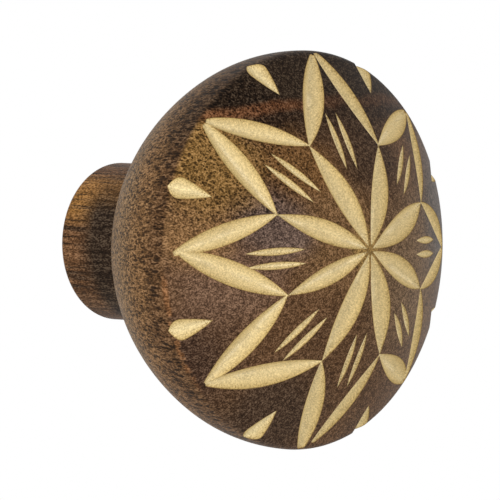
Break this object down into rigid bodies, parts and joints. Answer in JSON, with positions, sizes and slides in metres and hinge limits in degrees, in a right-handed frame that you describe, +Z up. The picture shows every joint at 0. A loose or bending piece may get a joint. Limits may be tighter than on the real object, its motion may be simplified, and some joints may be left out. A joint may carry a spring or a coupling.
{
  "type": "carved wooden furniture knob",
  "caption": "Turned mushroom-shaped wooden furniture knob with a domed, chip-carved rosette face and a brass threaded insert in its stem for a screw from behind.",
  "frame": {"origin": "centre of the mounting face, at the mouth of the screw hole", "axes": "-Y out of the furniture towards the carved face, +Z up with one star point at the top, +X to the right of someone facing the knob"},
  "size_m": [0.04, 0.0365, 0.04],
  "materials": {
    "stained_wood": "dark brown stain under satin lacquer, with the carved cuts left pale",
    "brass": "turned brass, lightly dulled"
  },
  "bodies": {
    "root": {"knob_body": "stained_wood", "threaded_insert": "brass"}
  },
  "joints": []
}
